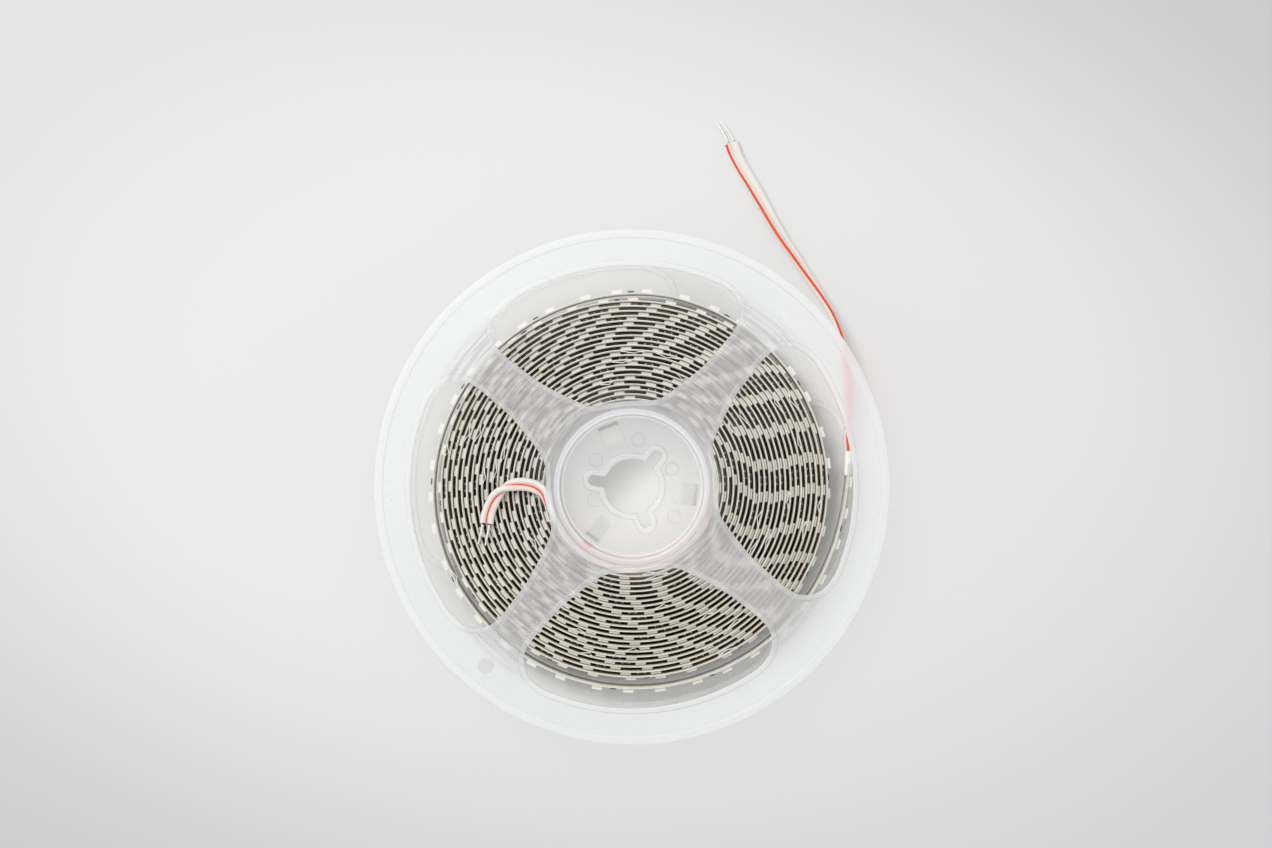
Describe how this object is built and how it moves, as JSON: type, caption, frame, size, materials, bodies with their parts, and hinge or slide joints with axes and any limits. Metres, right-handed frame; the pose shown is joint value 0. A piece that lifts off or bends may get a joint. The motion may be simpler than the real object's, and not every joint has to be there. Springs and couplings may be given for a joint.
{
  "type": "led strip light reel",
  "caption": "Frosted two-part plastic reel, windowed flanges and snap hub, wound with an LED strip that has a flat twin lead at each end",
  "frame": {"origin": "On the reel's axis, at the surface that the lower flange rests on", "axes": "+Z is the reel's axis and points up out of the upper flange, +Y is the top of the picture and +X its right"},
  "size_m": [0.1268, 0.1552, 0.0152],
  "materials": {
    "frosted_plastic": "frosted translucent natural white moulding, satin",
    "frosted_plastic_lower": "frosted translucent natural white moulding, satin",
    "strip_film": "cream flexible strip edges with pale release liner, satin",
    "joint_cover_white": "white sleeve over the soldered joint",
    "lead_sheath": "white flat twin sheath, one core with a red stripe, soft gloss",
    "tinned_wire": "tinned copper strand, dull grey"
  },
  "bodies": {
    "root": {"upper_flange": "frosted_plastic", "lower_flange": "frosted_plastic_lower", "led_strip": "strip_film", "outer_joint_cover": "joint_cover_white", "outer_lead": "lead_sheath", "inner_lead": "lead_sheath", "outer_lead_striped_tinned_end": "tinned_wire", "outer_lead_plain_tinned_end": "tinned_wire", "inner_lead_striped_tinned_end": "tinned_wire", "inner_lead_plain_tinned_end": "tinned_wire"}
  },
  "joints": []
}
